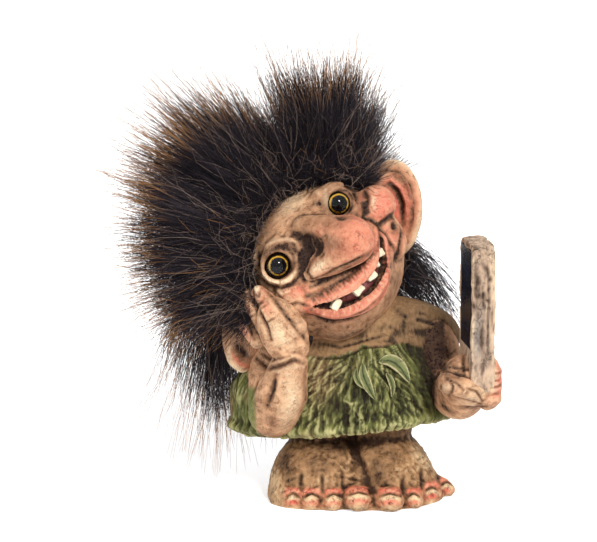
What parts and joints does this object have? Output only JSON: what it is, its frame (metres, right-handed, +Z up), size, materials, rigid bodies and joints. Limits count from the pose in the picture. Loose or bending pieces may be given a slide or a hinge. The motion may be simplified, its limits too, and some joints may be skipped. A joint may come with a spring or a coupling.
{
  "type": "troll figure",
  "caption": "Cast folk troll figure with glass eyes and long fur hair, its head leaning on one hand while the other holds up a flat slab.",
  "frame": {"origin": "on the floor under the soles, between the two ankles", "axes": "+Z up, the troll faces -Y, +X is to the troll's left, the right of someone looking at its face"},
  "size_m": [0.1363, 0.1024, 0.158],
  "materials": {
    "skin": "hand-painted matte latex casting, blushed and washed with brown",
    "feet_paint": "hand-painted matte latex casting, brown with coral toes",
    "tunic_moss": "hand-painted matte latex casting, moss green with dark grooves",
    "leaf_green": "hand-painted matte latex casting",
    "mouth_flesh": "dark red paint, satin",
    "tooth_cream": "cream paint, satin",
    "eye_glass": "clear polished glass",
    "iris_paint": "amber ring and black pupil fired on the back of the glass",
    "slab_bark": "hand-painted matte latex casting, bark and stone texture",
    "screen_gloss": "black, high gloss",
    "fur_pile": "long-pile faux fur, dark brown with ginger tips",
    "cap_knit": "knitted backing of the fur, matte",
    "peg_wood": "plain beech",
    "shank_wire": "plain wire"
  },
  "bodies": {
    "root": {"head_shell": "skin", "left_ear": "skin", "right_ear": "skin", "right_arm": "skin", "left_arm": "skin", "feet_casting": "feet_paint", "torso_shell": "tunic_moss", "chest_leaves": "leaf_green", "gum_plate": "mouth_flesh", "teeth": "tooth_cream", "left_eye_glass": "eye_glass", "right_eye_glass": "eye_glass", "left_eye_iris": "iris_paint", "right_eye_iris": "iris_paint", "left_eye_shank": "shank_wire", "right_eye_shank": "shank_wire", "phone_slab": "slab_bark", "phone_screen": "screen_gloss", "neck_peg": "peg_wood", "leg_pegs": "peg_wood", "arm_pegs": "peg_wood", "scalp_cap": "cap_knit", "fur_crown": "fur_pile", "fur_temple": "fur_pile", "fur_side": "fur_pile", "fur_fall": "fur_pile", "fur_back": "fur_pile", "fur_nape": "fur_pile"}
  },
  "joints": []
}
